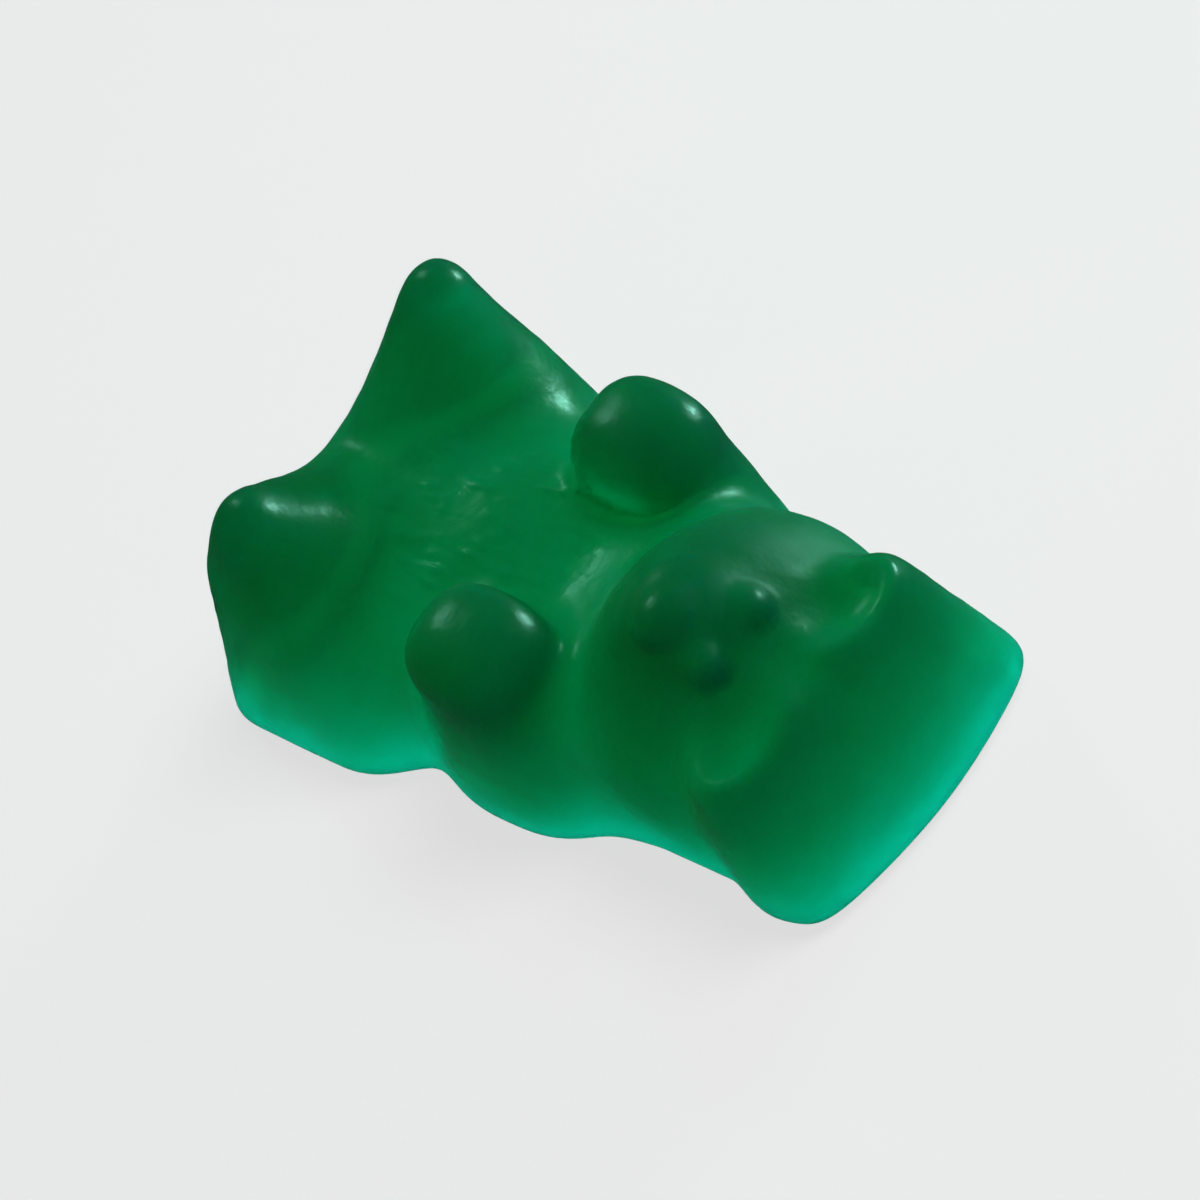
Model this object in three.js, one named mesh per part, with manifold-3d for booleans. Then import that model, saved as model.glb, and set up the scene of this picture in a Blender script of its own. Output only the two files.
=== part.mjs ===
// Gummy bear: one soft sweet, lying on its flat back, feet toward -Y, head toward +Y, front up.
// The form is one distance rule: drafted moulded walls with rounded lumps blended into them.
import * as THREE from 'three';
import Module from 'manifold-3d';

// overall, mm and degrees
const LENGTH = 22;
const SOLE_DRAFT = 11.5;
const CROWN_DRAFT = 9;
const WALL_DRAFT = 7;
const TWIST = 0.0125; // the moulded front leans a little about the long axis
const TWIST_Y = 8.5;
const EDGE_BACK = 1.0; // blend of the back rim
const EDGE_CROWN = 1.2;
const EDGE_SOLE = 1.3;

// body
const TRUNK = { y0: 4.2, y1: 12, r: 4.95, top: 4.6, edge: 2 };
const BELLY = { at: [0, 7.4, 2.2], r: [3.4, 4, 3], blend: 1.2 };

// limbs, given for the +X side
const LEG = { side: 6.1, sideDraft: 5.5, backY: 6.9, backDraft: 6, edge: 1.8, soleEdge: 1.75, topEdge: 2.4 };
const SHIN = { y: 6.3, z: 4.3, slope: 43, innerX: 0.35, innerZ: 5.2, inner: 50 };
const TOE = { from: [3.1, 4.4, 2], to: [4.65, 3.15, 6.7], r0: 2.8, r1: 1.5, power: 2.3, blend: 1.3 };
const ARM = { from: [3.3, 10.75, -1], to: [3.6, 11.15, 5.4], r0: 2.25, r1: 1.7, power: 2.7, blend: 1.2 };
const ARM_STRETCH = 1.16; // an arm is this much longer along the body than a round one
const MIDLINE = 0.5; // rounding where the two sides meet
const LIMB_BLEND = 1.6;

// head
const HEAD_WALL = { y0: 15, y1: 17.6, r: 4.5, top: 4.7, edge: 1.8 };
const SKULL = { at: [0, 16.2, 3.6], r: [4.15, 3.45, 3.75], blend: 1.4 };
const EAR = { y: 18.6, side: 5, sideDraft: 8, top: 6.15, innerX: 0.3, innerZ: 5.5, inner: 45 };
const EAR_EDGE = { corner: 2.5, front: 1.2, top: 1, inner: 0.9, join: 1.4, blend: 1 };
const SCOOP = { at: [2.4, 19.5, 7.05], r: [1.7, 1.25, 1.75], blend: 0.45 };
const MUZZLE = { from: [0.3, 16.3, 4.2], to: [0.45, 16.55, 6.05], r0: 2.3, r1: 1.6, power: 2.7, blend: 0.6 };
const NOSE = { at: [0.8, 16.7, 7.4], r: [0.95, 0.8, 0.55], blend: 0.25 };
const EYE = { at: [0.95, 18.05, 6.65], shift: 0.25, r: 0.52, blend: 0.35 };
const NECK_BLEND = 0.8;

// surface
const UNDERCUT = 0.05;
const GRID = { low: [-7.2, -0.8, -0.75], high: [7.2, 22.8, 9.2], cell: 0.415 };
const SETTLE = { rounds: 4, nudge: 0.01, flattest: 0.2 };
const SLAB = [40, 60, 4]; // cut away below the back
const COLOUR = 0x026e3d;
const ROUGHNESS = 0.32;

const rad = (degrees) => (degrees * Math.PI) / 180;

function join(a, b, k) {
  const h = Math.max(k - Math.abs(a - b), 0) / k;
  return Math.min(a, b) - (h * h * k) / 4;
}

function meet(a, b, k) {
  return -join(-a, -b, k);
}

// distance to a straight wall leaning by a draft angle: outward run u, height w
function wall(u, w, draft) {
  return u * Math.cos(rad(draft)) + w * Math.sin(rad(draft));
}

// rounded cone between two centres, squarer as the power grows
function lump(x, y, z, c) {
  const [ax, ay, az] = c.from;
  const dx = c.to[0] - ax;
  const dy = c.to[1] - ay;
  const dz = c.to[2] - az;
  const along = ((x - ax) * dx + (y - ay) * dy + (z - az) * dz) / (dx * dx + dy * dy + dz * dz);
  const t = Math.min(Math.max(along, 0), 1);
  const u = Math.abs(x - ax - t * dx) ** c.power;
  const v = Math.abs(y - ay - t * dy) ** c.power;
  const w = Math.abs(z - az - t * dz) ** c.power;
  return (u + v + w) ** (1 / c.power) - (c.r0 + (c.r1 - c.r0) * t);
}

function ellipsoid(x, y, z, e) {
  const u = (x - e.at[0]) / e.r[0];
  const v = (y - e.at[1]) / e.r[1];
  const w = (z - e.at[2]) / e.r[2];
  const k0 = Math.hypot(u, v, w);
  const k1 = Math.hypot(u / e.r[0], v / e.r[1], w / e.r[2]) + 1e-9;
  return (k0 * (k0 - 1)) / k1;
}

// long rounded block with drafted walls and a flat top
function block(x, y, z, b) {
  const dy = y - Math.min(Math.max(y, b.y0), b.y1);
  return meet(wall(Math.hypot(x, dy) - b.r, z, WALL_DRAFT), z - b.top, b.edge);
}

function leg(x, y, z, sole) {
  const outer = meet(wall(x - LEG.side, z, LEG.sideDraft), wall(y - LEG.backY, z, LEG.backDraft), LEG.edge);
  const slope = wall(y - SHIN.y, z - SHIN.z, SHIN.slope);
  const inner = wall(SHIN.innerX - x, z - SHIN.innerZ, SHIN.inner);
  const top = join(meet(slope, inner, LEG.edge), lump(x, y, z, TOE), TOE.blend);
  return meet(meet(outer, sole, LEG.soleEdge), top, LEG.topEdge);
}

function ear(x, y, z, crown) {
  const outer = meet(wall(x - EAR.side, z, EAR.sideDraft), crown, EAR_EDGE.corner);
  const inner = wall(EAR.innerX - x, z - EAR.innerZ, EAR.inner);
  const top = meet(meet(crown, z - EAR.top, EAR_EDGE.top), inner, EAR_EDGE.inner);
  return meet(meet(outer, EAR.y - y, EAR_EDGE.front), top, EAR_EDGE.join);
}

function head(x, half, y, z, crown) {
  let d = join(block(x, y, z, HEAD_WALL), ellipsoid(x, y, z, SKULL), SKULL.blend);
  d = join(d, ear(half, y, z, crown), EAR_EDGE.blend);
  d = meet(d, -ellipsoid(half, y, z, SCOOP), SCOOP.blend);
  d = join(d, lump(x, y, z, MUZZLE), MUZZLE.blend);
  d = join(d, ellipsoid(x, y, z, NOSE), NOSE.blend);
  const eye = Math.hypot(Math.abs(x - EYE.shift) - EYE.at[0], y - EYE.at[1], z - EYE.at[2]) - EYE.r;
  return join(d, eye, EYE.blend);
}

function bear(px, y, z) {
  const x = px - TWIST * Math.max(z, 0) * (y - TWIST_Y);
  const half = Math.hypot(x, MIDLINE);
  const sole = wall(-y, z, SOLE_DRAFT);
  const crown = wall(y - LENGTH, z, CROWN_DRAFT);
  let d = join(block(x, y, z, TRUNK), ellipsoid(x, y, z, BELLY), BELLY.blend);
  d = join(d, leg(half, y, z, sole), LIMB_BLEND);
  const armY = ARM.to[1] + (y - ARM.to[1]) / ARM_STRETCH;
  d = join(d, lump(half, armY, z, ARM), ARM.blend);
  d = join(d, head(x, half, y, z, crown), NECK_BLEND);
  d = meet(d, sole, EDGE_SOLE);
  d = meet(d, crown, EDGE_CROWN);
  return meet(d, -z - UNDERCUT, EDGE_BACK);
}

// moves a point onto the rule's own surface
function settle(rule, point) {
  const e = SETTLE.nudge;
  for (let i = 0; i < SETTLE.rounds; i += 1) {
    const [x, y, z] = point;
    const f = rule(x, y, z);
    const gx = (rule(x + e, y, z) - rule(x - e, y, z)) / (2 * e);
    const gy = (rule(x, y + e, z) - rule(x, y - e, z)) / (2 * e);
    const gz = (rule(x, y, z + e) - rule(x, y, z - e)) / (2 * e);
    const step = f / Math.max(gx * gx + gy * gy + gz * gz, SETTLE.flattest);
    point[0] -= step * gx;
    point[1] -= step * gy;
    point[2] -= step * gz;
  }
  return point;
}

// closed skin of a distance rule: one vertex in each cell the surface crosses
function skin(rule, low, high, cell) {
  const n = low.map((a, i) => Math.ceil((high[i] - a) / cell) + 1);
  const at = (i, j, k) => (i * n[1] + j) * n[2] + k;
  const field = new Float64Array(n[0] * n[1] * n[2]);
  for (let i = 0; i < n[0]; i += 1) {
    for (let j = 0; j < n[1]; j += 1) {
      for (let k = 0; k < n[2]; k += 1) {
        field[at(i, j, k)] = rule(low[0] + i * cell, low[1] + j * cell, low[2] + k * cell);
      }
    }
  }
  const corners = [0, 1, 2, 3, 4, 5, 6, 7].map((c) => [c & 1, (c >> 1) & 1, c >> 2]);
  const edges = [];
  for (let a = 0; a < 8; a += 1) {
    [1, 2, 4].filter((bit) => !(a & bit)).forEach((bit) => edges.push([a, a | bit]));
  }
  const vertexOf = new Map();
  const positions = [];
  for (let i = 0; i < n[0] - 1; i += 1) {
    for (let j = 0; j < n[1] - 1; j += 1) {
      for (let k = 0; k < n[2] - 1; k += 1) {
        const f = corners.map(([a, b, c]) => field[at(i + a, j + b, k + c)]);
        const cross = edges.filter(([a, b]) => f[a] < 0 !== f[b] < 0);
        if (cross.length > 0) {
          const sum = [0, 0, 0];
          cross.forEach(([a, b]) => {
            const t = f[a] / (f[a] - f[b]);
            [0, 1, 2].forEach((axis) => {
              sum[axis] += (corners[a][axis] + t * (corners[b][axis] - corners[a][axis])) / cross.length;
            });
          });
          const start = [i, j, k].map((index, axis) => low[axis] + (index + sum[axis]) * cell);
          vertexOf.set(at(i, j, k), positions.length / 3);
          positions.push(...settle(rule, start));
        }
      }
    }
  }
  const triangles = [];
  const gap = (a, b) => Math.hypot(...[0, 1, 2].map((m) => positions[3 * a + m] - positions[3 * b + m]));
  const quad = (ids, flip) => {
    const [a, b, c, d] = flip ? [...ids].reverse() : ids;
    triangles.push(...(gap(a, c) < gap(b, d) ? [a, b, c, a, c, d] : [a, b, d, b, c, d]));
  };
  for (let i = 1; i < n[0] - 1; i += 1) {
    for (let j = 1; j < n[1] - 1; j += 1) {
      for (let k = 1; k < n[2] - 1; k += 1) {
        const inside = field[at(i, j, k)] < 0;
        const ring = (list) => list.map(([a, b, c]) => vertexOf.get(at(i - a, j - b, k - c)));
        if (inside !== field[at(i + 1, j, k)] < 0) {
          quad(ring([[0, 0, 0], [0, 1, 0], [0, 1, 1], [0, 0, 1]]), !inside);
        }
        if (inside !== field[at(i, j + 1, k)] < 0) {
          quad(ring([[0, 0, 0], [0, 0, 1], [1, 0, 1], [1, 0, 0]]), !inside);
        }
        if (inside !== field[at(i, j, k + 1)] < 0) {
          quad(ring([[0, 0, 0], [1, 0, 0], [1, 1, 0], [0, 1, 0]]), !inside);
        }
      }
    }
  }
  return { positions: new Float32Array(positions), triangles: new Uint32Array(triangles) };
}

// flat back: everything below z = 0 comes off
async function cutFlat(shape) {
  const wasm = await Module();
  wasm.setup();
  const solid = (vertProperties, triVerts) => {
    return new wasm.Manifold(new wasm.Mesh({ numProp: 3, vertProperties, triVerts }));
  };
  const slab = new THREE.BoxGeometry(...SLAB);
  slab.translate(0, LENGTH / 2, -SLAB[2] / 2);
  const seen = new Map();
  const points = [];
  const place = slab.getAttribute('position');
  const index = Array.from(slab.getIndex().array, (v) => {
    const p = [place.getX(v), place.getY(v), place.getZ(v)];
    const key = p.join();
    if (!seen.has(key)) {
      seen.set(key, points.length / 3);
      points.push(...p);
    }
    return seen.get(key);
  });
  const body = solid(shape.positions, shape.triangles);
  return body.subtract(solid(new Float32Array(points), new Uint32Array(index))).getMesh();
}

const raw = skin(bear, GRID.low, GRID.high, GRID.cell);
const cut = await cutFlat(raw);
const geometry = new THREE.BufferGeometry();
geometry.setAttribute('position', new THREE.BufferAttribute(new Float32Array(cut.vertProperties), 3));
geometry.setIndex(Array.from(cut.triVerts));
geometry.computeBoundingBox();
const middle = geometry.boundingBox.getCenter(new THREE.Vector3());
geometry.translate(-middle.x, -middle.y, 0);
geometry.computeVertexNormals();

const gummy = new THREE.MeshStandardMaterial({ color: COLOUR, roughness: ROUGHNESS, metalness: 0 });
gummy.name = 'gummy';
const sweet = new THREE.Mesh(geometry, gummy);
sweet.name = 'gummy_bear';

const part = new THREE.Group();
part.name = 'gummy_bear_part';
part.add(sweet);

export default part;
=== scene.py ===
import math

import bpy
from mathutils import Matrix, Vector


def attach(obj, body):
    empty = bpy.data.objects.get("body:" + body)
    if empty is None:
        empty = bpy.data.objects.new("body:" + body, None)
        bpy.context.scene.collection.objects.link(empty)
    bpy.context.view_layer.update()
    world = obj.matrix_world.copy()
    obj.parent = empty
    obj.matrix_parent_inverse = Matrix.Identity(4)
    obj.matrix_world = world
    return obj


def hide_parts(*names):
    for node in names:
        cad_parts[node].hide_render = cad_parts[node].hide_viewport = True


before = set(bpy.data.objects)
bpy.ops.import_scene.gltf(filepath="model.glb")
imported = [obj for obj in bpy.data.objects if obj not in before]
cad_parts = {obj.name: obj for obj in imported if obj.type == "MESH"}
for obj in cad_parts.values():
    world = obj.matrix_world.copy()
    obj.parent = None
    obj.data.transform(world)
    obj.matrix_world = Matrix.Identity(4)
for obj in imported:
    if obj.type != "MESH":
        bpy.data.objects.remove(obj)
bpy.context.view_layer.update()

print("frame loaded")

# sizes in millimetres and degrees: feet at y = 0, head toward +y, back on z = 0
bearSizes = {
    "Length": 22.0,
    "Sole Draft": 11.5,
    "Crown Draft": 9.0,
    "Wall Draft": 7.0,
    "Twist": 0.0125,
    "Twist Centre": 8.5,
    "Midline": 0.5,  # rounding where the two sides meet
    "Back Edge": 1.0,
    "Crown Edge": 1.2,
    "Sole Edge": 1.3,
    "Trunk Low": 4.2,
    "Trunk High": 12.0,
    "Trunk Radius": 4.95,
    "Trunk Top": 4.6,
    "Trunk Edge": 2.0,
    "Belly Centre": (0.0, 7.4, 2.2),
    "Belly Size": (3.4, 4.0, 3.0),
    "Belly Blend": 1.2,
    "Leg Side": 6.1,
    "Leg Side Draft": 5.5,
    "Leg Back": 6.9,
    "Leg Back Draft": 6.0,
    "Leg Edge": 1.8,
    "Leg Sole Edge": 1.75,
    "Leg Top Edge": 2.4,
    "Shin Y": 6.3,
    "Shin Z": 4.3,
    "Shin Slope": 43.0,
    "Thigh X": 0.35,
    "Thigh Z": 5.2,
    "Thigh Slope": 50.0,
    "Toe From": (3.1, 4.4, 2.0),
    "Toe To": (4.65, 3.15, 6.7),
    "Toe Start": 2.8,
    "Toe End": 1.5,
    "Toe Power": 2.3,
    "Toe Blend": 1.3,
    "Limb Blend": 1.6,
    "Arm From": (3.3, 10.75, -1.0),
    "Arm To": (3.6, 11.15, 5.4),
    "Arm Start": 2.25,
    "Arm End": 1.7,
    "Arm Power": 2.7,
    "Arm Blend": 1.2,
    "Arm Stretch": 1.16,  # longer along the body
    "Head Low": 15.0,
    "Head High": 17.6,
    "Head Radius": 4.5,
    "Head Top": 4.7,
    "Head Edge": 1.8,
    "Skull Centre": (0.0, 16.2, 3.6),
    "Skull Size": (4.15, 3.45, 3.75),
    "Skull Blend": 1.4,
    "Ear Y": 18.6,
    "Ear Side": 5.0,
    "Ear Side Draft": 8.0,
    "Ear Top": 6.15,
    "Ear Inner X": 0.3,
    "Ear Inner Z": 5.5,
    "Ear Inner Slope": 45.0,
    "Ear Corner Edge": 2.5,
    "Ear Front Edge": 1.2,
    "Ear Top Edge": 1.0,
    "Ear Inner Edge": 0.9,
    "Ear Join": 1.4,
    "Ear Blend": 1.0,
    "Scoop Centre": (2.4, 19.5, 7.05),
    "Scoop Size": (1.7, 1.25, 1.75),
    "Scoop Blend": 0.45,
    "Muzzle From": (0.3, 16.3, 4.2),
    "Muzzle To": (0.45, 16.55, 6.05),
    "Muzzle Start": 2.3,
    "Muzzle End": 1.6,
    "Muzzle Power": 2.7,
    "Muzzle Blend": 0.6,
    "Nose Centre": (0.8, 16.7, 7.4),
    "Nose Size": (0.95, 0.8, 0.55),
    "Nose Blend": 0.25,
    "Eye Centre": (0.95, 18.05, 6.65),
    "Eye Shift": 0.25,
    "Eye Radius": 0.52,
    "Eye Blend": 0.35,
    "Neck Blend": 0.8,
    "Undercut": 0.05,
}

# low relief of the skin, millimetres
skinSizes = {
    "Sag": 0.07,  # slow unevenness of a soft sweet
    "Sag Scale": 0.28,
    "Ripple": 0.025,
    "Ripple Scale": 1.3,
    "Fur": 0.2,  # moulded strokes on the belly
    "Fur Scale": 3.4,
    "Fur Stretch": 0.22,
    "Fur Centre": 8.0,
    "Fur Half Width": 3.4,
    "Fur Half Length": 4.2,
    "Fur Fade": 0.35,  # squared reach inside which they stand in full
    "Relief Low": 0.3,  # the relief grows between these heights
    "Relief High": 2.0,
    "Dish": 0.16,  # hollow of the back inside its rim
    "Dish Rim": 1.1,
    "Dish Slope": 0.45,
    "Dish Level": 0.1,
    "Dish Low": 0.05,
    "Dish High": 0.35,
    "Pebble": 0.025,  # orange-peel grain of the back
    "Pebble Scale": 1.9,
}

gridSizes = {
    "low": (-7.2, -0.8, -0.75),
    "high": (7.2, 22.8, 9.2),
    "step": 0.12,
    "rounds": 2,
    "nudge": 0.02,
    "flattest": 0.2,
}

allSizes = {**bearSizes, **skinSizes}
millimetre = 0.001


# a value inside a node tree, so that the rule reads as arithmetic
class Field:
    def __init__(self, tree, socket):
        self.tree = tree
        self.socket = socket

    def calc(self, operation, *others):
        return calc(self.tree, operation, self, *others)

    def __add__(self, other):
        return self.calc("ADD", other)

    def __sub__(self, other):
        return self.calc("SUBTRACT", other)

    def __mul__(self, other):
        return self.calc("MULTIPLY", other)

    def __truediv__(self, other):
        return self.calc("DIVIDE", other)

    def __neg__(self):
        return self.calc("MULTIPLY", -1.0)


def plug(tree, socket, value):
    if isinstance(value, Field):
        tree.links.new(value.socket, socket)
    else:
        socket.default_value = value


def addNode(tree, kind, inputs=None, **settings):
    node = tree.nodes.new(kind)
    for key, value in settings.items():
        setattr(node, key, value)
    for key, value in (inputs or {}).items():
        plug(tree, node.inputs[key], value)
    return node


def calc(tree, operation, *values):
    node = addNode(tree, "ShaderNodeMath", dict(enumerate(values)), operation=operation)
    return Field(tree, node.outputs[0])


def vectorCalc(tree, operation, *values):
    node = addNode(tree, "ShaderNodeVectorMath", operation=operation)
    for index, value in enumerate(values):
        key = "Scale" if operation == "SCALE" and index == 1 else index
        plug(tree, node.inputs[key], value)
    return Field(tree, node.outputs["Value" if operation in ("DOT_PRODUCT", "LENGTH") else "Vector"])


def split(vector):
    node = addNode(vector.tree, "ShaderNodeSeparateXYZ", {0: vector})
    return [Field(vector.tree, output) for output in node.outputs]


def combine(tree, x, y, z):
    return Field(tree, addNode(tree, "ShaderNodeCombineXYZ", {0: x, 1: y, 2: z}).outputs[0])


# maps a value from one span to another, held at the ends
def ranged(value, fromLow, fromHigh, toLow=0.0, toHigh=1.0, **settings):
    inputs = {"Value": value, "From Min": fromLow, "From Max": fromHigh, "To Min": toLow, "To Max": toHigh}
    return Field(value.tree, addNode(value.tree, "ShaderNodeMapRange", inputs, **settings).outputs[0])


def mixedColour(share, first, second):
    node = addNode(share.tree, "ShaderNodeMix", data_type="RGBA")
    for index, value in ((0, share), (6, first), (7, second)):
        plug(share.tree, node.inputs[index], value)
    return Field(share.tree, node.outputs[2])


def newGroup(name, inputs, outputs, treeKind="GeometryNodeTree"):
    tree = bpy.data.node_groups.new(name, treeKind)
    kinds = {"float": "NodeSocketFloat", "tuple": "NodeSocketVector", "str": "NodeSocketGeometry"}
    for direction, sockets in (("INPUT", inputs), ("OUTPUT", outputs)):
        for label, value in sockets.items():
            kind = kinds[type(value).__name__]
            socket = tree.interface.new_socket(name=label, in_out=direction, socket_type=kind)
            if direction == "INPUT" and not isinstance(value, str):
                socket.default_value = value
    source = tree.nodes.new("NodeGroupInput")
    given = {label: Field(tree, source.outputs[label]) for label in inputs}
    return tree, given, tree.nodes.new("NodeGroupOutput")


def place(tree, group, values):
    node = addNode(tree, "GeometryNodeGroup", node_tree=group)
    for key, value in values.items():
        plug(tree, node.inputs[key], value)
    return Field(tree, node.outputs[0])


# smooth minimum joins two bodies, smooth maximum keeps what they share
def buildSoftMix(name, operation, sign):
    tree, given, result = newGroup(name, {"A": 0.0, "B": 0.0, "Blend": 1.0}, {"Distance": 0.0})
    a, b, blend = given["A"], given["B"], given["Blend"]
    near = (blend - (a - b).calc("ABSOLUTE")).calc("MAXIMUM", 0.0) / blend
    plug(tree, result.inputs[0], a.calc(operation, b) + near * near * blend * (0.25 * sign))
    return tree


def buildWall():
    inputs = {"Run": 0.0, "Height": 0.0, "Draft": 8.0}
    tree, given, result = newGroup("draftedWall", inputs, {"Distance": 0.0})
    angle = given["Draft"].calc("RADIANS")
    plug(tree, result.inputs[0], given["Run"] * angle.calc("COSINE") + given["Height"] * angle.calc("SINE"))
    return tree


def buildLump():
    inputs = {"Position": (0.0, 0.0, 0.0), "From": (0.0, 0.0, 0.0), "To": (0.0, 0.0, 1.0)}
    inputs.update({"Start": 1.0, "End": 1.0, "Power": 2.0})
    tree, given, result = newGroup("roundedLump", inputs, {"Distance": 0.0})
    spine = vectorCalc(tree, "SUBTRACT", given["To"], given["From"])
    reach = vectorCalc(tree, "SUBTRACT", given["Position"], given["From"])
    along = vectorCalc(tree, "DOT_PRODUCT", reach, spine) / vectorCalc(tree, "DOT_PRODUCT", spine, spine)
    t = along.calc("MAXIMUM", 0.0).calc("MINIMUM", 1.0)
    off = vectorCalc(tree, "SUBTRACT", reach, vectorCalc(tree, "SCALE", spine, t))
    powers = [part.calc("ABSOLUTE").calc("POWER", given["Power"]) for part in split(off)]
    size = (powers[0] + powers[1] + powers[2]).calc("POWER", calc(tree, "DIVIDE", 1.0, given["Power"]))
    plug(tree, result.inputs[0], size - (given["Start"] + (given["End"] - given["Start"]) * t))
    return tree


def buildEllipsoid():
    inputs = {"Position": (0.0, 0.0, 0.0), "Centre": (0.0, 0.0, 0.0), "Size": (1.0, 1.0, 1.0)}
    tree, given, result = newGroup("ellipsoid", inputs, {"Distance": 0.0})
    local = vectorCalc(tree, "SUBTRACT", given["Position"], given["Centre"])
    scaled = vectorCalc(tree, "DIVIDE", local, given["Size"])
    reach = vectorCalc(tree, "LENGTH", scaled)
    slope = vectorCalc(tree, "LENGTH", vectorCalc(tree, "DIVIDE", scaled, given["Size"])) + 1e-6
    plug(tree, result.inputs[0], reach * (reach - 1.0) / slope)
    return tree


join = buildSoftMix("softJoin", "MINIMUM", -1.0)
meet = buildSoftMix("softMeet", "MAXIMUM", 1.0)
wall = buildWall()
lump = buildLump()
ellipsoid = buildEllipsoid()


def buildBlock():
    inputs = {"Position": (0.0, 0.0, 0.0), "Low": 0.0, "High": 1.0, "Radius": 1.0}
    inputs.update({"Top": 1.0, "Edge": 1.0, "Draft": 7.0})
    tree, given, result = newGroup("roundedBlock", inputs, {"Distance": 0.0})
    x, y, z = split(given["Position"])
    run = y - y.calc("MAXIMUM", given["Low"]).calc("MINIMUM", given["High"])
    radius = (x * x + run * run).calc("SQRT")
    side = place(tree, wall, {"Run": radius - given["Radius"], "Height": z, "Draft": given["Draft"]})
    rounded = place(tree, meet, {"A": side, "B": z - given["Top"], "Blend": given["Edge"]})
    plug(tree, result.inputs[0], rounded)
    return tree


block = buildBlock()


def buildBear():
    inputs = {"Position": (0.0, 0.0, 0.0), **bearSizes}
    tree, s, result = newGroup("bearDistance", inputs, {"Distance": 0.0})

    def joined(a, b, blend):
        return place(tree, join, {"A": a, "B": b, "Blend": s[blend]})

    def shared(a, b, blend):
        return place(tree, meet, {"A": a, "B": b, "Blend": s[blend]})

    def leaning(run, height, draft):
        return place(tree, wall, {"Run": run, "Height": height, "Draft": s[draft]})

    def cone(position, name):
        keys = ("From", "To", "Start", "End", "Power")
        return place(tree, lump, {"Position": position, **{key: s[name + " " + key] for key in keys}})

    def ball(position, name):
        keys = ("Centre", "Size")
        return place(tree, ellipsoid, {"Position": position, **{key: s[name + " " + key] for key in keys}})

    def slab(position, name):
        keys = ("Low", "High", "Radius", "Top", "Edge")
        values = {key: s[name + " " + key] for key in keys}
        return place(tree, block, {"Position": position, "Draft": s["Wall Draft"], **values})

    worldX, y, z = split(s["Position"])
    x = worldX - s["Twist"] * z.calc("MAXIMUM", 0.0) * (y - s["Twist Centre"])
    half = (x * x + s["Midline"] * s["Midline"]).calc("SQRT")
    whole = combine(tree, x, y, z)
    mirrored = combine(tree, half, y, z)
    sole = leaning(-y, z, "Sole Draft")
    crown = leaning(y - s["Length"], z, "Crown Draft")

    body = joined(slab(whole, "Trunk"), ball(whole, "Belly"), "Belly Blend")

    outside = leaning(half - s["Leg Side"], z, "Leg Side Draft")
    behind = leaning(y - s["Leg Back"], z, "Leg Back Draft")
    outer = shared(outside, behind, "Leg Edge")
    slope = leaning(y - s["Shin Y"], z - s["Shin Z"], "Shin Slope")
    inner = leaning(s["Thigh X"] - half, z - s["Thigh Z"], "Thigh Slope")
    top = joined(shared(slope, inner, "Leg Edge"), cone(mirrored, "Toe"), "Toe Blend")
    leg = shared(shared(outer, sole, "Leg Sole Edge"), top, "Leg Top Edge")
    body = joined(body, leg, "Limb Blend")
    armMiddle = split(s["Arm To"])[1]
    armY = armMiddle + (y - armMiddle) / s["Arm Stretch"]
    body = joined(body, cone(combine(tree, half, armY, z), "Arm"), "Arm Blend")

    head = joined(slab(whole, "Head"), ball(whole, "Skull"), "Skull Blend")
    earSide = shared(leaning(half - s["Ear Side"], z, "Ear Side Draft"), crown, "Ear Corner Edge")
    earInner = leaning(s["Ear Inner X"] - half, z - s["Ear Inner Z"], "Ear Inner Slope")
    earTop = shared(shared(crown, z - s["Ear Top"], "Ear Top Edge"), earInner, "Ear Inner Edge")
    ear = shared(shared(earSide, s["Ear Y"] - y, "Ear Front Edge"), earTop, "Ear Join")
    head = joined(head, ear, "Ear Blend")
    head = shared(head, -ball(mirrored, "Scoop"), "Scoop Blend")
    head = joined(head, cone(whole, "Muzzle"), "Muzzle Blend")
    head = joined(head, ball(whole, "Nose"), "Nose Blend")
    eyePoint = combine(tree, (x - s["Eye Shift"]).calc("ABSOLUTE"), y, z)
    eyeReach = vectorCalc(tree, "LENGTH", vectorCalc(tree, "SUBTRACT", eyePoint, s["Eye Centre"]))
    head = joined(head, eyeReach - s["Eye Radius"], "Eye Blend")

    body = joined(body, head, "Neck Blend")
    body = shared(body, sole, "Sole Edge")
    body = shared(body, crown, "Crown Edge")
    plug(tree, result.inputs[0], shared(body, -z - s["Undercut"], "Back Edge"))
    return tree


bearDistance = buildBear()


# soft even flecks, value 0 to 1, from one noise texture
fleckSpan = (0.25, 0.75)


def buildFlecks():
    inputs = {"Position": (0.0, 0.0, 0.0), "Scale": 1.0, "Detail": 2.0}
    tree, given, result = newGroup("flecks", inputs, {"Value": 0.0}, "ShaderNodeTree")
    texture = tree.nodes.new("ShaderNodeTexNoise")
    plug(tree, texture.inputs["Vector"], given["Position"])
    plug(tree, texture.inputs["Scale"], given["Scale"])
    plug(tree, texture.inputs["Detail"], given["Detail"])
    plug(tree, result.inputs[0], ranged(Field(tree, texture.outputs[0]), *fleckSpan))
    return tree


flecks = buildFlecks()


def newMaterial(name):
    material = bpy.data.materials.new(name)
    material.use_nodes = True
    return material, material.node_tree, material.node_tree.nodes["Principled BSDF"]


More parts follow.
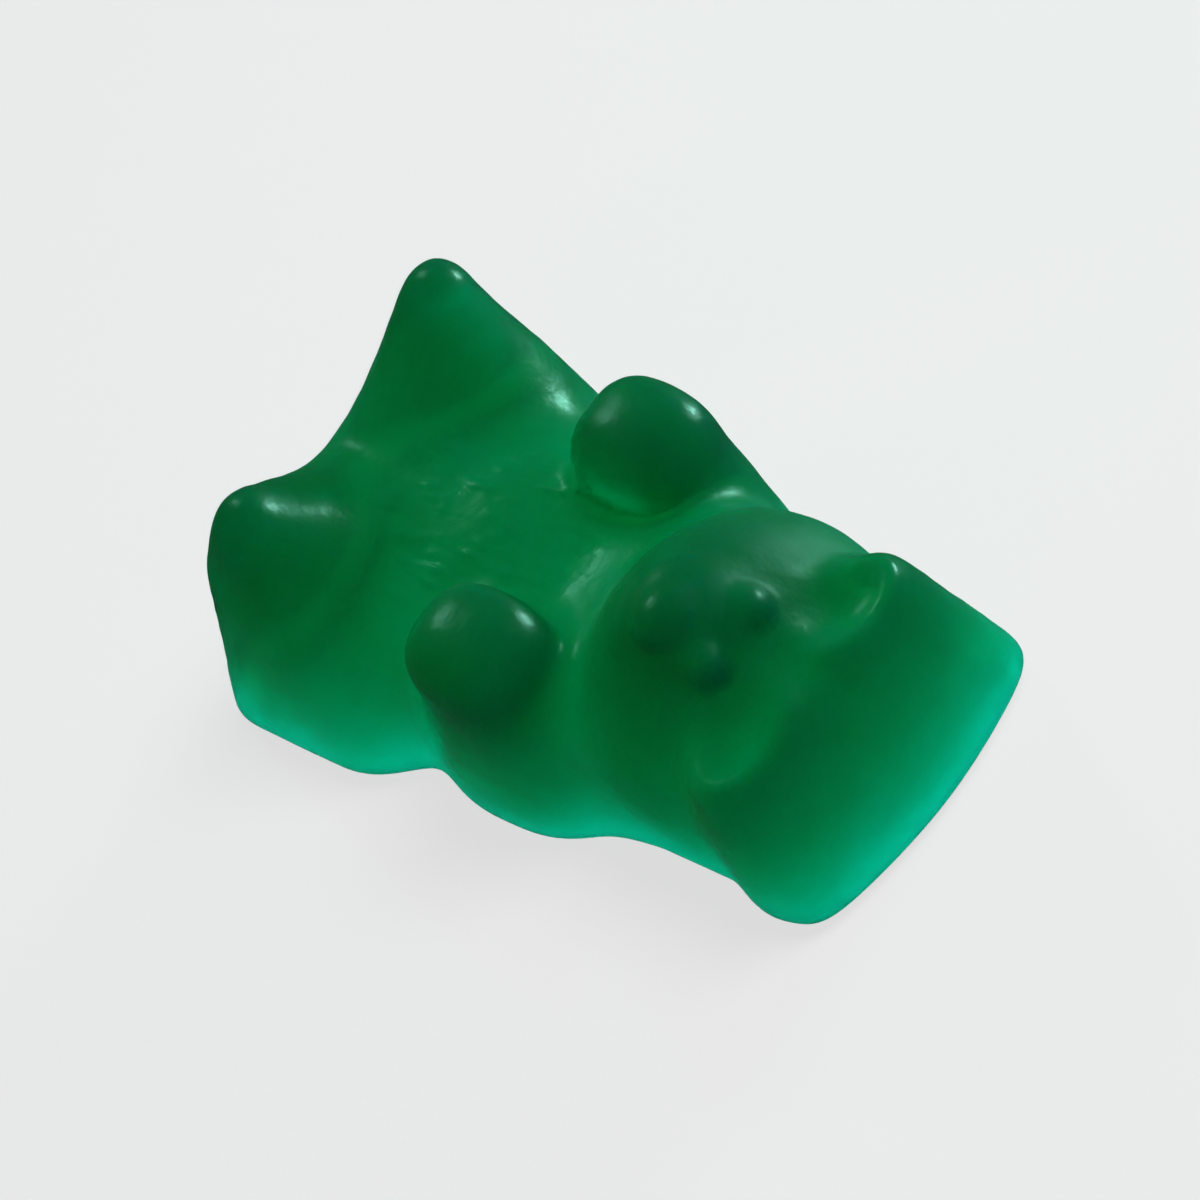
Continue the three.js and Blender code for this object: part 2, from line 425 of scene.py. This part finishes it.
def gummyMaterial():
    gummy = {
        "clearTint": (0.0, 0.86, 0.75, 1),
        "cloudyTint": (0.0, 0.72, 0.5, 1),
        "cloudScale": 420.0,
        "cloudDetail": 3.0,
        "roughness": 0.28,
        "dullRoughness": 0.38,
        "dullScale": 900.0,
        "dullDetail": 2.0,
        "headRoughness": 0.55,  # the skull, between the neck and the ears and below the snout
        "headLow": 0.0022,
        "headHigh": 0.0045,
        "earLow": 0.0068,
        "earHigh": 0.0078,
        "snoutLow": 0.0068,
        "snoutHigh": 0.0074,
        "backRoughness": 0.8,
        "shine": 0.25,
        "ior": 1.33,
        "transmission": 0.95,
        "scatter": 1.0,
        "scatterReach": (0.1, 1.0, 0.6),
        "scatterScale": 0.003,
        "absorbColour": (0.0, 0.85, 0.71, 1),
        "absorbDensity": 1600,
        "grainScale": 5200.0,
        "grainDetail": 2.0,
        "grainHeight": 0.000005,
        "stippleScale": 3600.0,
        "stippleDetail": 0.0,
        "stippleHeight": 0.000022,
        "backTop": 0.0005,
        "backLow": 0.0002,
    }
    material, tree, shader = newMaterial("gummyGreen")
    shader.inputs["IOR"].default_value = gummy["ior"]
    shader.inputs["Transmission Weight"].default_value = gummy["transmission"]
    shader.inputs["Subsurface Weight"].default_value = gummy["scatter"]
    shader.inputs["Subsurface Radius"].default_value = gummy["scatterReach"]
    shader.inputs["Subsurface Scale"].default_value = gummy["scatterScale"]
    shader.inputs["Specular IOR Level"].default_value = gummy["shine"]
    position = Field(tree, tree.nodes.new("ShaderNodeTexCoord").outputs["Object"])
    along, up = split(position)[1:]

    def speckle(name):
        inputs = {"Position": position, "Scale": gummy[name + "Scale"], "Detail": gummy[name + "Detail"]}
        return Field(tree, addNode(tree, "ShaderNodeGroup", inputs, node_tree=flecks).outputs[0])

    # faint cloudiness of the jelly
    tint = mixedColour(speckle("cloud"), gummy["clearTint"], gummy["cloudyTint"])
    plug(tree, shader.inputs["Base Color"], tint)

    # duller patches, a duller skull and a rough back
    skin = ranged(speckle("dull"), 0.0, 1.0, gummy["roughness"], gummy["dullRoughness"])
    head = ranged(up, gummy["snoutLow"], gummy["snoutHigh"], gummy["headRoughness"], skin)
    head = ranged(along, gummy["earLow"], gummy["earHigh"], head, skin)
    skin = ranged(along, gummy["headLow"], gummy["headHigh"], skin, head)
    skin = ranged(up, gummy["backTop"], gummy["backLow"], skin, gummy["backRoughness"])
    plug(tree, shader.inputs["Roughness"], skin)

    # fine grain all over, stipple on the back
    grain = ranged(speckle("grain"), 0.0, 1.0, 0.0, gummy["grainHeight"])
    stippleHeight = ranged(up, gummy["backTop"], gummy["backLow"], 0.0, gummy["stippleHeight"])
    relief = grain + speckle("stipple") * stippleHeight
    bump = addNode(tree, "ShaderNodeBump", {"Distance": 1.0, "Height": relief})
    tree.links.new(bump.outputs[0], shader.inputs["Normal"])

    absorb = tree.nodes.new("ShaderNodeVolumeAbsorption")
    absorb.inputs["Color"].default_value = gummy["absorbColour"]
    absorb.inputs["Density"].default_value = gummy["absorbDensity"]
    tree.links.new(absorb.outputs[0], tree.nodes["Material Output"].inputs["Volume"])
    return material


def buildShape(material):
    tree, s, result = newGroup("gummyBearShape", allSizes, {"Geometry": "geometry"})

    def distanceAt(position):
        return place(tree, bearDistance, {"Position": position, **{name: s[name] for name in bearSizes}})

    def moved(geometry, offset):
        node = addNode(tree, "GeometryNodeSetPosition", {"Geometry": geometry, "Offset": offset})
        return Field(tree, node.outputs[0])

    here = Field(tree, addNode(tree, "GeometryNodeInputPosition").outputs[0])
    low, high, step = gridSizes["low"], gridSizes["high"], gridSizes["step"]
    cube = addNode(tree, "GeometryNodeVolumeCube", {"Background": -1.0, "Min": low, "Max": high})
    for axis, letter in enumerate("XYZ"):
        cube.inputs["Resolution " + letter].default_value = round((high[axis] - low[axis]) / step) + 1
    plug(tree, cube.inputs["Density"], -distanceAt(here))
    solid = Field(tree, cube.outputs[0])
    skin = addNode(tree, "GeometryNodeVolumeToMesh", {"Volume": solid, "Threshold": 0.0})
    geometry = Field(tree, skin.outputs[0])

    # each point is brought onto the rule's own surface
    nudge = gridSizes["nudge"]
    for _ in range(gridSizes["rounds"]):
        centre = distanceAt(here)
        steps = ((nudge, 0.0, 0.0), (0.0, nudge, 0.0), (0.0, 0.0, nudge))
        slopes = [(distanceAt(vectorCalc(tree, "ADD", here, one)) - centre) / nudge for one in steps]
        gradient = combine(tree, *slopes)
        square = vectorCalc(tree, "DOT_PRODUCT", gradient, gradient).calc("MAXIMUM", gridSizes["flattest"])
        geometry = moved(geometry, vectorCalc(tree, "SCALE", gradient, -centre / square))

    # the back lies flat
    x, y, z = split(here)
    geometry = moved(geometry, combine(tree, 0.0, 0.0, (-z).calc("MAXIMUM", 0.0)))

    def noise(position, scale, detail):
        values = {"Vector": position, "Scale": scale, "Detail": detail}
        node = addNode(tree, "ShaderNodeTexNoise", values, noise_dimensions="3D")
        return Field(tree, node.outputs[0]) * 2.0 - 1.0

    def ramp(value, start, end):
        return ranged(value, start, end, interpolation_type="SMOOTHSTEP")

    # low relief: slow unevenness, moulded strokes on the belly
    lifted = ramp(z, s["Relief Low"], s["Relief High"])
    sag = noise(here, s["Sag Scale"], 1.0) * s["Sag"] + noise(here, s["Ripple Scale"], 1.0) * s["Ripple"]
    strokePoint = combine(tree, x, y * s["Fur Stretch"], z * s["Fur Stretch"])
    bellyX = x / s["Fur Half Width"]
    bellyY = (y - s["Fur Centre"]) / s["Fur Half Length"]
    belly = ramp(bellyX * bellyX + bellyY * bellyY, 1.0, s["Fur Fade"])
    fur = noise(strokePoint, s["Fur Scale"], 2.0).calc("MAXIMUM", 0.0) * s["Fur"] * belly
    normal = Field(tree, addNode(tree, "GeometryNodeInputNormal").outputs[0])
    geometry = moved(geometry, vectorCalc(tree, "SCALE", normal, (sag + fur) * lifted))

    # the back is a little hollow inside its rim, with a pebbled grain
    inset = -distanceAt(combine(tree, x, y, s["Dish Rim"] + s["Dish Level"]))
    rimward = ramp(inset, s["Dish Rim"] * s["Dish Slope"], s["Dish Rim"])
    under = ramp(z, s["Dish High"], s["Dish Low"]) * rimward
    hollow = (noise(here, s["Pebble Scale"], 1.0) * s["Pebble"] + s["Dish"]) * under
    geometry = moved(geometry, combine(tree, 0.0, 0.0, hollow))

    geometry = Field(tree, addNode(tree, "GeometryNodeSetShadeSmooth", {"Geometry": geometry}).outputs[0])
    box = addNode(tree, "GeometryNodeBoundBox", {"Geometry": geometry})
    middle = vectorCalc(tree, "ADD", Field(tree, box.outputs["Min"]), Field(tree, box.outputs["Max"]))
    toOrigin = vectorCalc(tree, "MULTIPLY", middle, (-millimetre / 2, -millimetre / 2, 0.0))
    whole = addNode(tree, "GeometryNodeTransform", {"Geometry": geometry, "Translation": toOrigin})
    whole.inputs["Scale"].default_value = (millimetre,) * 3
    real = addNode(tree, "GeometryNodeRealizeInstances", {"Geometry": Field(tree, whole.outputs[0])})
    painted = addNode(tree, "GeometryNodeSetMaterial", {"Geometry": Field(tree, real.outputs[0])})
    painted.inputs["Material"].default_value = material
    tree.links.new(painted.outputs[0], result.inputs[0])
    return tree


def makeBear():
    material = gummyMaterial()
    tree = buildShape(material)
    holder = bpy.data.objects.new("bearShape", bpy.data.meshes.new("bearShape"))
    bpy.context.collection.objects.link(holder)
    modifier = holder.modifiers.new("shape", "NODES")
    modifier.node_group = tree
    for socket in tree.interface.items_tree:
        if socket.in_out == "INPUT":
            modifier[socket.identifier] = allSizes[socket.name]
    evaluated = holder.evaluated_get(bpy.context.evaluated_depsgraph_get())
    mesh = bpy.data.meshes.new_from_object(evaluated)
    bpy.data.objects.remove(holder)
    mesh.name = "gummyBear"
    bear = bpy.data.objects.new("gummyBear", mesh)
    bpy.context.collection.objects.link(bear)
    return bear


bear = makeBear()
print("bear shaped:", len(bear.data.polygons), "faces", [round(v / millimetre, 2) for v in bear.dimensions])
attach(bear, "root")
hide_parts("gummy_bear")


def makeFloor():
    floorSizes = {
        "half": 3.0,
        "colour": (0.3, 0.3, 0.3, 1),
        "paintedReflectionColour": (0.02, 0.07, 0.05, 1),  # painted reflection: dark green floor in glossy reflections, standing in for green surroundings mirrored in the shiny skin
        "roughness": 0.7,
        "glow": 0.7,  # like a light table
        "throughGlow": 0.97,
        "mirroredGlow": 0.02,
    }
    half = floorSizes["half"]
    points = [(-half, -half, 0), (half, -half, 0), (half, half, 0), (-half, half, 0)]
    mesh = bpy.data.meshes.new("floor")
    mesh.from_pydata(points, [], [(0, 1, 2, 3)])
    floor = bpy.data.objects.new("floor", mesh)
    bpy.context.collection.objects.link(floor)
    material, tree, shader = newMaterial("paleFloor")
    shader.inputs["Roughness"].default_value = floorSizes["roughness"]
    shader.inputs["Specular IOR Level"].default_value = 0.0
    shader.inputs["Emission Color"].default_value = (1, 1, 1, 1)
    rays = tree.nodes.new("ShaderNodeLightPath")
    through = Field(tree, rays.outputs["Is Transmission Ray"])
    # painted reflection: in glossy reflections the floor shows a dark green colour and almost no glow
    mirrored = Field(tree, rays.outputs["Is Glossy Ray"]) * Field(tree, rays.outputs["Is Reflection Ray"])
    colour = mixedColour(mirrored, floorSizes["colour"], floorSizes["paintedReflectionColour"])
    plug(tree, shader.inputs["Base Color"], colour)
    glow = ranged(through, 0.0, 1.0, floorSizes["glow"], floorSizes["throughGlow"])
    glow = ranged(mirrored, 0.0, 1.0, glow, floorSizes["mirroredGlow"])
    plug(tree, shader.inputs["Emission Strength"], glow)
    material.cycles.emission_sampling = "NONE"
    mesh.materials.append(material)


makeFloor()

cameraSettings = {
    "right": (-0.593, 0.720, -0.372),
    "toward": (0.316, 0.633, 0.712),
    "target": (0.0001, 0.00016, 0.0034),
    "lens": 250.0,
    "sensorWidth": 36.0,
    "frameWidth": 0.0306,
    "clipStart": 0.002,
    "clipEnd": 20.0,
}


def makeCamera():
    toward = Vector(cameraSettings["toward"]).normalized()
    right = Vector(cameraSettings["right"])
    right = (right - toward * right.dot(toward)).normalized()
    up = toward.cross(right)
    lens = bpy.data.cameras.new("camera")
    lens.lens = cameraSettings["lens"]
    lens.sensor_width = cameraSettings["sensorWidth"]
    lens.clip_start = cameraSettings["clipStart"]
    lens.clip_end = cameraSettings["clipEnd"]
    distance = cameraSettings["frameWidth"] * cameraSettings["lens"] / cameraSettings["sensorWidth"]
    camera = bpy.data.objects.new("camera", lens)
    turn = Matrix((right, up, toward)).transposed().to_4x4()
    camera.matrix_world = Matrix.Translation(Vector(cameraSettings["target"]) + toward * distance) @ turn
    bpy.context.collection.objects.link(camera)
    bpy.context.scene.camera = camera


makeCamera()

# even surroundings: what lights the scene, and what the camera sees behind it
worldSettings = {
    "colour": (1, 1, 1, 1),
    "light": 0.03,
    "backdrop": 0.81,
}

# rim and key draw the highlights, fill lights dull surfaces alone
lightSettings = {
    "rim": {
        "toward": (-0.93, -0.02, 0.14),
        "distance": 0.16,
        "width": 0.05,
        "height": 0.012,
        "power": 0.0085,
        "spread": 40,
        "colour": (0.4, 1.0, 0.85),
        "mirrored": True,
    },
    "key": {
        "toward": (-0.3, -0.8, 0.5),
        "distance": 0.2,
        "width": 0.02,
        "height": 0.02,
        "power": 0.028,
        "spread": 180,
        "colour": (0.4, 1.0, 0.85),
        "mirrored": True,
    },
    "fill": {
        "toward": (-0.35, 0.3, 0.9),
        "distance": 0.4,
        "width": 0.24,
        "height": 0.24,
        "power": 0.6,
        "spread": 180,
        "colour": (1.0, 1.0, 1.0),
        "mirrored": False,
    },
}


def makeLights():
    for name, light in lightSettings.items():
        data = bpy.data.lights.new(name, "AREA")
        data.shape = "ELLIPSE"
        data.size = light["width"]
        data.size_y = light["height"]
        data.energy = light["power"]
        data.spread = math.radians(light["spread"])
        data.color = light["colour"]
        lamp = bpy.data.objects.new(name, data)
        away = Vector(light["toward"]).normalized()
        lamp.location = away * light["distance"]
        lamp.rotation_euler = away.to_track_quat("Z", "Y").to_euler()
        lamp.visible_glossy = light["mirrored"]
        lamp.visible_transmission = light["mirrored"]
        bpy.context.collection.objects.link(lamp)
    world = bpy.data.worlds.new("studio")
    world.use_nodes = True
    tree = world.node_tree
    background = tree.nodes["Background"]
    background.inputs["Color"].default_value = worldSettings["colour"]
    seen = Field(tree, tree.nodes.new("ShaderNodeLightPath").outputs["Is Camera Ray"])
    strength = ranged(seen, 0.0, 1.0, worldSettings["light"], worldSettings["backdrop"])
    plug(tree, background.inputs["Strength"], strength)
    bpy.context.scene.world = world
    bpy.context.scene.view_settings.view_transform = "Standard"


makeLights()
print("scene lit")
